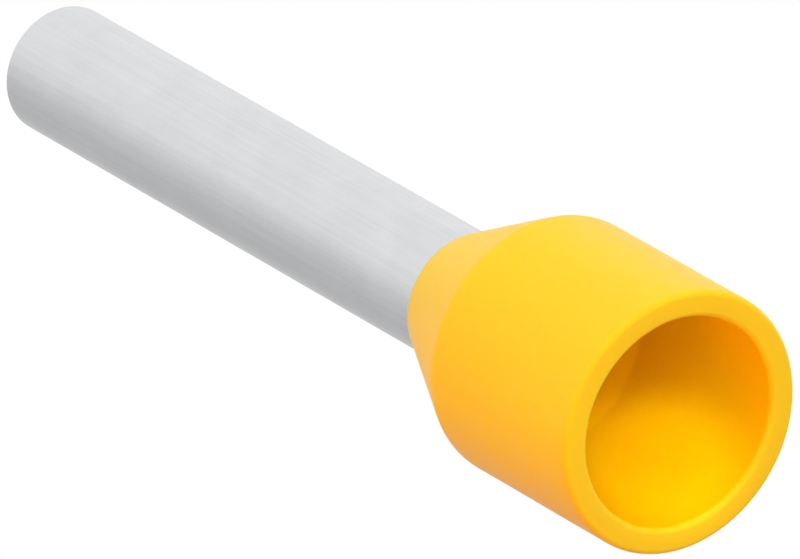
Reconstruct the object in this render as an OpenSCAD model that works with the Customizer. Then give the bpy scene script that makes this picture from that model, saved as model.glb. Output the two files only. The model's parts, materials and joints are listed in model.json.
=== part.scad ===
// Insulated wire-end ferrule for a 1 mm2 stranded conductor: a thin metal sleeve
// with a bell mouth, and a moulded collar that is pushed over it and seats on the bell.
// It stands on the collar's mouth. The origin is the centre of the mouth's plane, and
// the sleeve points up along +Z. Outlines are half sections, as [radius, height].

/* [Sleeve] */
// Inside diameter of the metal sleeve
sleeve_bore_d = 1.4; // [1.2:0.05:1.8]
// Wall of the metal sleeve
sleeve_wall = 0.16; // [0.12:0.01:0.2]
// Length of sleeve that stands out of the collar
sleeve_reach = 9.3; // [6:0.1:18]
// Radius on the sleeve's cut edges
sleeve_edge_r = 0.04; // [0.01:0.01:0.05]

/* [Bell mouth] */
// Inside diameter of the bell mouth at its open edge
bell_d = 2.0; // [1.9:0.05:2.3]
// Radius of the bend from the straight sleeve into the bell, on its outside
bell_bend_r = 1.2; // [0.4:0.1:1.6]

/* [Collar] */
// Outside diameter of the collar's barrel
collar_d = 3.5; // [3.3:0.05:4]
// Wall of the collar, on the barrel and behind the bell
collar_wall = 0.35; // [0.25:0.01:0.4]
// Length of the barrel, from the mouth to the shoulder
barrel_l = 2.95; // [2:0.05:6]
// Length of the cone, from the shoulder to the sleeve
cone_l = 1.75; // [1.6:0.05:3]
// Thickness of the collar where its cone ends on the sleeve
neck_lip = 0.06; // [0.05:0.01:0.15]
// Radius of the blend at the shoulder
shoulder_r = 0.25; // [0.1:0.05:1]
// Radius on the inner and outer edge of the mouth
rim_r = 0.08; // [0.02:0.01:0.1]

/* [Hidden] */

$fn = 120;
// A rounded corner turns by at most this many degrees per flat, in at least this many flats
ARC_STEP = 15;
ARC_FLATS = 3;

sleeve_r = sleeve_bore_d / 2 + sleeve_wall;
collar_r = collar_d / 2;
entry_r = collar_r - collar_wall;
neck_r = sleeve_r + neck_lip;
neck_z = barrel_l + cone_l;
tip_z = neck_z + sleeve_reach;

// The collar's inside cone runs parallel to its outside cone, one wall away,
// and the bell of the sleeve lies against it.
cone_angle = atan((collar_r - neck_r) / cone_l);
inner_shoulder_z = barrel_l - collar_wall * tan(cone_angle / 2);
throat_z = inner_shoulder_z + (entry_r - sleeve_r) / tan(cone_angle);

// A direction across the bell's wall, and the two corners of its open edge
across_bell = [cos(cone_angle), sin(cone_angle)];
bell_outer_r = bell_d / 2 + sleeve_wall * across_bell[0];
bell_outer = [bell_outer_r, inner_shoulder_z + (entry_r - bell_outer_r) / tan(cone_angle)];
bell_inner = bell_outer - sleeve_wall * across_bell;
inner_throat_z = throat_z - sleeve_wall * tan(cone_angle / 2);

function unit(v) = v / norm(v);
function turned(v, a) = [v[0] * cos(a) - v[1] * sin(a), v[0] * sin(a) + v[1] * cos(a)];

// The arc of the given radius that rounds off corner p between its neighbours a and b
function corner_arc(a, p, b, radius) =
    let(
        to_a = unit(a - p),
        to_b = unit(b - p),
        half = acos(to_a * to_b) / 2,
        centre = p + unit(to_a + to_b) * radius / sin(half),
        start = p + to_a * radius / tan(half) - centre,
        turn = (180 - 2 * half) * (cross(to_a, to_b) > 0 ? -1 : 1),
        steps = max(ARC_FLATS, ceil(abs(turn) / ARC_STEP))
    )
    [for (i = [0:steps]) centre + turned(start, turn * i / steps)];

// An outline from corners given as [point, radius], where radius 0 leaves a corner sharp
function rounded(corners) =
    let(n = len(corners))
    [
        for (i = [0:n - 1])
            let(
                before = corners[(i + n - 1) % n][0],
                corner = corners[i],
                after = corners[(i + 1) % n][0]
            )
            each corner[1] > 0 ? corner_arc(before, corner[0], after, corner[1]) : [corner[0]]
    ];

// The throat's corner is the same in both outlines, so the sleeve's bend and bell
// lie face to face with the collar's seat.
throat = [[sleeve_r, throat_z], bell_bend_r];

module sleeve() {
    color("silver")
        rotate_extrude()
            polygon(rounded([
                [[sleeve_bore_d / 2, tip_z], sleeve_edge_r],
                [[sleeve_bore_d / 2, inner_throat_z], bell_bend_r + sleeve_wall],
                [bell_inner, sleeve_edge_r],
                [bell_outer, sleeve_edge_r],
                throat,
                [[sleeve_r, tip_z], sleeve_edge_r],
            ]));
}

module collar() {
    color("gold")
        rotate_extrude()
            polygon(rounded([
                [[entry_r, 0], rim_r],
                [[collar_r, 0], rim_r],
                [[collar_r, barrel_l], shoulder_r],
                [[neck_r, neck_z], neck_lip / 2],
                [[sleeve_r, neck_z], 0],
                throat,
                [[entry_r, inner_shoulder_z], shoulder_r],
            ]));
}

sleeve();
collar();
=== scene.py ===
"""Looks for the insulated wire ferrule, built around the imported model.

The ferrule stands on its collar's mouth and the main view looks into that mouth, so its camera is
below the part, and rolled. The floor is one-sided: seen from below, it isn't there.
Sizes are in metres and directions in the row's frame, with +Z along the ferrule's axis.
"""

import json
import math

import bmesh
import bpy
from mathutils import Matrix, Vector, noise


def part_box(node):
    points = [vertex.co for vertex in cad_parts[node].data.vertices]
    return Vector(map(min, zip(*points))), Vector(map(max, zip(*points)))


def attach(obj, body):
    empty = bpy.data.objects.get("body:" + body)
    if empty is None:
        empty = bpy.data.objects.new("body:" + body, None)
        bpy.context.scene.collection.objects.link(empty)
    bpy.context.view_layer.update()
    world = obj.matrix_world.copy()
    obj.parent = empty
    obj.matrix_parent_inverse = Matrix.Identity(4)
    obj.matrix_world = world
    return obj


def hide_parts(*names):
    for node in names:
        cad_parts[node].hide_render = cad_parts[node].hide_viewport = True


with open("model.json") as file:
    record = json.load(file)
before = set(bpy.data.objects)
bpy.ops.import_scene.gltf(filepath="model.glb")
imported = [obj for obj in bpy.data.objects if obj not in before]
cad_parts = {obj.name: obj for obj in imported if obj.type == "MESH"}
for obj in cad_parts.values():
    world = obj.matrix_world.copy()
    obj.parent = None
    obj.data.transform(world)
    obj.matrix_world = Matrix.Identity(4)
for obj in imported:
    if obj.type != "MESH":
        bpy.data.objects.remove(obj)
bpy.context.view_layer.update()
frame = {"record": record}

MM = 0.001
MICRON = 0.000001

# ---------------------------------------------------------------- sizes
MOUNTS = {m["name"]: m for m in frame["record"]["mounts"]}


def mount_radius(name):
    return MOUNTS[name]["dims"]["r_mm"] * MM


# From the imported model's mounts and boxes
SLEEVE_R = mount_radius("contact_sleeve")
BORE_R = mount_radius("conductor_bore")
ENTRY_R = mount_radius("wire_entry")
SLEEVE_WALL = SLEEVE_R - BORE_R
COLLAR_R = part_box("collar")[1].x
COLLAR_WALL = COLLAR_R - ENTRY_R
NECK_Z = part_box("collar")[1].z
TIP_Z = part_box("sleeve")[1].z

# The cone's length and the small radii, which no box or mount gives
CONE_L = 1.75 * MM
NECK_LIP = 0.06 * MM
LIP_OUTER_EDGE_R = NECK_LIP * 0.45
LIP_INNER_EDGE_R = NECK_LIP * 0.3
SHOULDER_R = 0.25 * MM
RIM_R = 0.08 * MM
BELL_R = 1.0 * MM
BELL_BEND_R = 1.2 * MM
CUT_EDGE_R = 0.04 * MM
# A hair's gap that shows where the collar's lip ends on the sleeve
LIP_GAP = 6 * MICRON

BARREL_L = NECK_Z - CONE_L
NECK_R = SLEEVE_R + NECK_LIP
CONE_ANGLE = math.atan((COLLAR_R - NECK_R) / CONE_L)
INNER_SHOULDER_Z = BARREL_L - COLLAR_WALL * math.tan(CONE_ANGLE / 2)
THROAT_Z = INNER_SHOULDER_Z + (ENTRY_R - SLEEVE_R) / math.tan(CONE_ANGLE)
INNER_THROAT_Z = THROAT_Z - SLEEVE_WALL * math.tan(CONE_ANGLE / 2)
MIDDLE = Vector((0, 0, TIP_Z / 2))

# ---------------------------------------------------------------- turned shapes
# A rounded corner turns by at most this much per flat, in at least this many flats
ARC_STEP = math.radians(7)
ARC_FLATS = 4


def corner_arc(before, corner, after, radius):
    """Points of the arc that rounds off a corner of an outline."""
    to_before = (before - corner).normalized()
    to_after = (after - corner).normalized()
    half = to_before.angle(to_after) / 2
    centre = corner + (to_before + to_after).normalized() * (radius / math.sin(half))
    start = corner + to_before * (radius / math.tan(half)) - centre
    turn = math.pi - 2 * half
    if to_before.x * to_after.y - to_before.y * to_after.x > 0:
        turn = -turn
    steps = max(ARC_FLATS, math.ceil(abs(turn) / ARC_STEP))
    return [centre + Matrix.Rotation(turn * i / steps, 2) @ start for i in range(steps + 1)]


def rounded(corners):
    """A closed outline of (radius, height) points, from (radius, height, rounding) corners."""
    points = [Vector((c[0], c[1])) for c in corners]
    out = []
    for i, (_, _, radius) in enumerate(corners):
        if radius:
            out += corner_arc(points[i - 1], points[i], points[(i + 1) % len(points)], radius)
        else:
            out.append(points[i])
    return out


def divided(points, longest):
    """The same closed outline with no stretch longer than the given length."""
    out = []
    for p, q in zip(points, points[1:] + points[:1]):
        parts = max(1, math.ceil((q - p).length / longest))
        out += [p.lerp(q, i / parts) for i in range(parts)]
    return out


def placed(name, bm):
    """A new object in the scene, made of the given mesh."""
    mesh = bpy.data.meshes.new(name)
    bm.to_mesh(mesh)
    bm.free()
    made = bpy.data.objects.new(name, mesh)
    bpy.context.scene.collection.objects.link(made)
    return made


def lathe(name, outline, segments, unevenness, wavelength):
    """A closed outline turned about Z. The surface strays in and out by up to the unevenness."""
    bm = bmesh.new()
    rings = []
    for s in range(segments):
        angle = 2 * math.pi * s / segments
        around = Vector((math.cos(angle), math.sin(angle), 0))
        ring = []
        for p in outline:
            here = around * p.x + Vector((0, 0, p.y))
            stray = unevenness * noise.noise(here / wavelength)
            ring.append(bm.verts.new(here + around * stray))
        rings.append(ring)
    count = len(outline)
    for s, ring in enumerate(rings):
        after = rings[(s + 1) % segments]
        for i in range(count):
            j = (i + 1) % count
            bm.faces.new((ring[i], after[i], after[j], ring[j])).smooth = True
    bmesh.ops.recalc_face_normals(bm, faces=bm.faces)
    return placed(name, bm)


def make_collar():
    lip_r = SLEEVE_R + LIP_GAP
    outline = rounded(
        [
            (ENTRY_R, 0, RIM_R),
            (COLLAR_R, 0, RIM_R),
            (COLLAR_R, BARREL_L, SHOULDER_R),
            (NECK_R, NECK_Z, LIP_OUTER_EDGE_R),
            (lip_r, NECK_Z, LIP_INNER_EDGE_R),
            (lip_r, THROAT_Z, BELL_BEND_R),
            (ENTRY_R, INNER_SHOULDER_Z, SHOULDER_R),
        ]
    )
    return lathe(
        "collar_shell",
        divided(outline, longest=0.1 * MM),
        segments=288,
        unevenness=3 * MICRON,
        wavelength=1.6 * MM,
    )


def make_sleeve():
    across_bell = Vector((math.cos(CONE_ANGLE), math.sin(CONE_ANGLE))) * SLEEVE_WALL
    bell_outer_r = BELL_R + across_bell.x
    bell_outer_z = INNER_SHOULDER_Z + (ENTRY_R - bell_outer_r) / math.tan(CONE_ANGLE)
    outline = rounded(
        [
            (BORE_R, TIP_Z, CUT_EDGE_R),
            (BORE_R, INNER_THROAT_Z, BELL_BEND_R + SLEEVE_WALL),
            (BELL_R, bell_outer_z - across_bell.y, CUT_EDGE_R),
            (bell_outer_r, bell_outer_z, CUT_EDGE_R),
            (SLEEVE_R, THROAT_Z, BELL_BEND_R),
            (SLEEVE_R, TIP_Z, CUT_EDGE_R),
        ]
    )
    return lathe(
        "sleeve_tube",
        divided(outline, longest=0.15 * MM),
        segments=240,
        unevenness=1.5 * MICRON,
        wavelength=1.1 * MM,
    )


# ---------------------------------------------------------------- materials
DEEP_YELLOW = (1.0, 0.575, 0.0)
LIGHT_YELLOW = (1.0, 0.625, 0.0)
DULL_TIN = (0.665, 0.67, 0.685)
BRIGHT_TIN = (0.765, 0.77, 0.785)
PALE_FLOOR = (0.86, 0.86, 0.855)
# Most of a noise texture's values lie in this range
NOISE_MIDDLE = (0.3, 0.7)


def add(tree, kind, inputs=None, **settings):
    """A new node. Inputs are constants, or sockets of other nodes to link."""
    made = tree.nodes.new(kind)
    for name, value in settings.items():
        setattr(made, name, value)
    for name, value in (inputs or {}).items():
        if isinstance(value, bpy.types.NodeSocket):
            tree.links.new(value, made.inputs[name])
        else:
            made.inputs[name].default_value = value
    return made


def new_material(name):
    material = bpy.data.materials.new(name)
    material.use_nodes = True
    material.node_tree.nodes.clear()
    return material, material.node_tree


def in_millimetres(tree, stretch):
    """The object's own coordinates in millimetres, each axis times its stretch."""
    place = add(tree, "ShaderNodeTexCoord").outputs["Object"]
    factors = {0: place, 1: [s / MM for s in stretch]}
    return add(tree, "ShaderNodeVectorMath", factors, operation="MULTIPLY").outputs[0]


def grain(tree, per_mm, detail, stretch=(1, 1, 1), roughness=0.5):
    """Noise from 0 to 1, with so many features to the millimetre."""
    inputs = {
        "Vector": in_millimetres(tree, stretch),
        "Scale": per_mm,
        "Detail": detail,
        "Roughness": roughness,
    }
    return add(tree, "ShaderNodeTexNoise", inputs).outputs["Fac"]


def spread(tree, noise_value, low, high):
    """The middle range of a noise value, spread from low to high."""
    inputs = {
        "Value": noise_value,
        "From Min": NOISE_MIDDLE[0],
        "From Max": NOISE_MIDDLE[1],
        "To Min": low,
        "To Max": high,
    }
    return add(tree, "ShaderNodeMapRange", inputs).outputs["Result"]


def blend_colours(tree, factor, first, second):
    """The first colour where the factor is 0, and the second where it is 1."""
    inputs = {"Factor": factor, "A": (*first, 1), "B": (*second, 1)}
    return add(tree, "ShaderNodeMix", inputs, data_type="RGBA").outputs["Result"]


def bumps(tree, *layers):
    """Bump layers, each as (height from 0 to 1, depth in metres), one on the other."""
    normal = None
    for height, depth in layers:
        inputs = {"Height": height, "Distance": depth, "Strength": 1.0}
        if normal:
            inputs["Normal"] = normal
        normal = add(tree, "ShaderNodeBump", inputs).outputs["Normal"]
    return normal


def surface(tree, inputs):
    shader = add(tree, "ShaderNodeBsdfPrincipled", inputs)
    add(tree, "ShaderNodeOutputMaterial", {"Surface": shader.outputs[0]})


def yellow_plastic():
    """Moulded plastic: a soft sheen, flow marks, a fine eroded grain and turned mould rings."""
    material, tree = new_material("yellow_plastic")
    flow = grain(tree, per_mm=0.5, detail=3, stretch=(1, 1, 0.35))
    rings = grain(tree, per_mm=1.0, detail=4, stretch=(0.15, 0.15, 14))
    peel = grain(tree, per_mm=3.2, detail=2)
    eroded = grain(tree, per_mm=26, detail=3, roughness=0.6)
    inputs = {
        "Base Color": blend_colours(tree, spread(tree, flow, 0, 1), DEEP_YELLOW, LIGHT_YELLOW),
        "Roughness": spread(tree, peel, 0.36, 0.46),
        "IOR": 1.49,
        "Specular IOR Level": 0.3,
        "Subsurface Weight": 0.4,
        "Subsurface Radius": (1.0, 0.35, 0.08),
        "Subsurface Scale": 0.3 * MM,
        "Normal": bumps(
            tree, (peel, 3.0 * MICRON), (rings, 0.8 * MICRON), (eroded, 1.4 * MICRON)
        ),
    }
    surface(tree, inputs)
    return material


def tinned_copper():
    """Electro-tinned tube: satin, clouded by the plating, with lines from the drawing die."""
    material, tree = new_material("tinned_copper")
    clouds = grain(tree, per_mm=1.3, detail=5, roughness=0.6)
    lines = grain(tree, per_mm=1.0, detail=4, stretch=(16, 16, 0.3), roughness=0.7)
    frost = grain(tree, per_mm=40, detail=3, roughness=0.6)
    shares = {0: spread(tree, clouds, 0, 0.45), 1: spread(tree, lines, 0, 0.55)}
    tone = add(tree, "ShaderNodeMath", shares, operation="ADD").outputs[0]
    inputs = {
        "Base Color": blend_colours(tree, tone, DULL_TIN, BRIGHT_TIN),
        "Metallic": 1.0,
        "Roughness": spread(tree, frost, 0.20, 0.27),
        "Normal": bumps(
            tree, (lines, 1.6 * MICRON), (frost, 0.2 * MICRON), (clouds, 4 * MICRON)
        ),
    }
    surface(tree, inputs)
    return material


# ---------------------------------------------------------------- camera
# The main view: where its camera stands, and its roll about the line of sight
AZIMUTH = math.radians(-90)
ELEVATION = math.radians(-49.5)
ROLL = math.radians(-60.13)
LENS = 1000
SENSOR = 36
VIEW_W = 10.165 * MM
# Where the view's middle lies from the ferrule's, to the right and up in the picture
VIEW_RIGHT = 0.447 * MM
VIEW_UP = -0.469 * MM


def view_axes():
    """The camera's right, up and backward directions."""
    level = Vector((math.sin(AZIMUTH), -math.cos(AZIMUTH), 0))
    back = level * math.cos(ELEVATION) + Vector((0, 0, math.sin(ELEVATION)))
    right = Vector((math.cos(AZIMUTH), math.sin(AZIMUTH), 0))
    up = back.cross(right)
    turn = Matrix.Rotation(ROLL, 3, back)
    return turn @ right, turn @ up, back


RIGHT, UP, BACK = view_axes()


def make_camera():
    data = bpy.data.cameras.new("camera")
    data.lens = LENS
    data.sensor_width = SENSOR
    distance = VIEW_W * LENS / SENSOR
    data.clip_start = distance / 10
    data.clip_end = distance * 10
    camera = bpy.data.objects.new("camera", data)
    bpy.context.scene.collection.objects.link(camera)
    turn = Matrix((RIGHT, UP, BACK)).transposed().to_4x4()
    place = MIDDLE + RIGHT * VIEW_RIGHT + UP * VIEW_UP + BACK * distance
    camera.matrix_world = Matrix.Translation(place) @ turn
    bpy.context.scene.camera = camera


# ---------------------------------------------------------------- floor
FLOOR_R = 90 * MM
# Solid out to the first of these, and faded out by the second
FLOOR_SOLID_R = 35 * MM
FLOOR_FADED_R = FLOOR_R * 0.95
# Just clear of the face that the ferrule stands on
FLOOR_DROP = 10 * MICRON


def floor_material():
    """Pale and one-sided. It fades out far from the part."""
    material, tree = new_material("floor")
    pale = add(tree, "ShaderNodeBsdfDiffuse", {"Color": (*PALE_FLOOR, 1)})
    clear = add(tree, "ShaderNodeBsdfTransparent")
    place = add(tree, "ShaderNodeTexCoord").outputs["Object"]
    far = add(tree, "ShaderNodeVectorMath", {0: place}, operation="LENGTH").outputs["Value"]
    fade = add(
        tree,
        "ShaderNodeMapRange",
        {"Value": far, "From Min": FLOOR_SOLID_R, "From Max": FLOOR_FADED_R},
        interpolation_type="SMOOTHSTEP",
    ).outputs["Result"]
    behind = add(tree, "ShaderNodeNewGeometry").outputs["Backfacing"]
    gone = add(tree, "ShaderNodeMath", {0: fade, 1: behind}, operation="MAXIMUM").outputs[0]
    shaders = {0: gone, 1: pale.outputs[0], 2: clear.outputs[0]}
    mixed = add(tree, "ShaderNodeMixShader", shaders)
    add(tree, "ShaderNodeOutputMaterial", {"Surface": mixed.outputs[0]})
    return material


def make_floor():
    bm = bmesh.new()
    bmesh.ops.create_circle(bm, cap_ends=True, segments=96, radius=FLOOR_R)
    floor = placed("floor", bm)
    floor.location.z = -FLOOR_DROP
    floor.data.materials.append(floor_material())
    # It neither lights nor shades the part, and takes only the part's shadow
    floor.visible_diffuse = False
    floor.visible_glossy = False
    floor.visible_transmission = False
    floor.visible_shadow = False


# ---------------------------------------------------------------- lamps
WHITE = (1, 1, 1)
WARM = (1, 0.06, 0.02)
# Each softbox: its direction from the part, distance, width, colour and power in watts.
# The warm one gives the collar's shaded side its orange.
SOFTBOXES = {
    "upper": (RIGHT * 0.35 + UP * 0.75 + BACK * 0.56, 60 * MM, 40 * MM, WHITE, 0.0078),
    "front": (RIGHT * 0.1 + UP * 0.1 + BACK, 60 * MM, 30 * MM, WHITE, 0.0095),
    "warm": (-RIGHT * 0.45 - UP * 0.75 + BACK * 0.5, 60 * MM, 30 * MM, WARM, 0.0125),
    "overhead": (Vector((-0.35, 0.25, 1)), 70 * MM, 60 * MM, WHITE, 0.019),
    "behind": (Vector((1, -0.2, 0.6)), 60 * MM, 50 * MM, WHITE, 0.014),
}
# Across the ferrule in the main view, towards its upper right
ACROSS = RIGHT * 0.5 + UP * 0.866


def aim(name, data, target, towards, distance):
    """A lamp so far from its target, in the given direction. Reflections show only the dome."""
    lamp = bpy.data.objects.new(name, data)
    bpy.context.scene.collection.objects.link(lamp)
    place = target + towards.normalized() * distance
    turn = towards.to_track_quat("Z", "Y").to_matrix().to_4x4()
    lamp.matrix_world = Matrix.Translation(place) @ turn
    lamp.visible_camera = False
    lamp.visible_glossy = False


def softbox(name, towards, distance, width, colour, power):
    data = bpy.data.lights.new(name, "AREA")
    data.size = width
    data.color = colour
    data.energy = power
    aim(name, data, MIDDLE, towards, distance)


def snoot(name, target, towards, distance, beam_r, power):
    """A narrow soft-edged beam, of the given radius at its target."""
    data = bpy.data.lights.new(name, "SPOT")
    data.spot_size = 2 * math.atan(beam_r / distance)
    data.spot_blend = 0.6
    data.shadow_soft_size = beam_r / 4
    data.energy = power
    aim(name, data, target, towards, distance)


def make_lamps():
    for name, settings in SOFTBOXES.items():
        softbox(name, *settings)
    snoot(
        "into_mouth",
        target=ACROSS * -0.25 * MM,
        towards=BACK + ACROSS * 0.2,
        distance=60 * MM,
        beam_r=1.12 * MM,
        power=0.10,
    )


# ---------------------------------------------------------------- world
# The side that the studio dome is brightest on
KEY = (UP * 0.9 + BACK * 0.3 + RIGHT * 0.2).normalized()
# The dome's strength at sides from 0, opposite KEY, to 1, at KEY
DOME_ON_ROUGH = [(0.0, 0.22), (0.32, 0.42), (0.62, 0.78), (1.0, 0.82)]
DOME_IN_REFLECTIONS = [
    (0.0, 0.42),
    (0.16, 0.60),
    (0.35, 0.76),
    (0.5, 0.97),
    (0.65, 0.97),
    (0.8, 1.07),
    (1.0, 1.2),
]


def dome_level(tree, side, levels):
    """The dome's strength, read off (side, strength) levels along a smooth curve."""
    made = add(tree, "ShaderNodeValToRGB", {"Fac": side})
    ramp = made.color_ramp
    ramp.interpolation = "B_SPLINE"
    while len(ramp.elements) < len(levels):
        ramp.elements.new(1)
    for stop, (place, level) in zip(ramp.elements, levels):
        stop.position = place
        stop.color = (level, level, level, 1)
    return made.outputs["Color"]


def make_world():
    """White to the camera. To the part it is a studio dome, brighter on the side of KEY."""
    world = bpy.data.worlds.new("studio")
    bpy.context.scene.world = world
    world.use_nodes = True
    tree = world.node_tree
    tree.nodes.clear()
    direction = add(tree, "ShaderNodeTexCoord").outputs["Generated"]
    both = {0: direction, 1: KEY}
    facing = add(tree, "ShaderNodeVectorMath", both, operation="DOT_PRODUCT").outputs["Value"]
    side = add(tree, "ShaderNodeMapRange", {"Value": facing, "From Min": -1.0}).outputs["Result"]
    path = add(tree, "ShaderNodeLightPath").outputs
    mirrored = {0: dome_level(tree, side, DOME_IN_REFLECTIONS), 1: path["Is Glossy Ray"]}
    strength = add(tree, "ShaderNodeMath", mirrored, operation="MULTIPLY").outputs[0]
    on_rough = dome_level(tree, side, DOME_ON_ROUGH)
    for other in (on_rough, path["Is Camera Ray"], path["Is Transmission Ray"]):
        either = {0: strength, 1: other}
        strength = add(tree, "ShaderNodeMath", either, operation="MAXIMUM").outputs[0]
    sky = add(tree, "ShaderNodeBackground", {"Color": (*WHITE, 1), "Strength": strength})
    add(tree, "ShaderNodeOutputWorld", {"Surface": sky.outputs[0]})


# ---------------------------------------------------------------- the scene
make_camera()

PIECES = [
    (make_collar(), yellow_plastic(), "collar", "yellow_polypropylene"),
    (make_sleeve(), tinned_copper(), "sleeve", "tinned_copper"),
]
for piece, material, node, slot in PIECES:
    piece.data.materials.append(material)
    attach(piece, "root")
    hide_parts(node)

make_floor()
make_lamps()
make_world()
bpy.context.scene.view_settings.view_transform = "Standard"
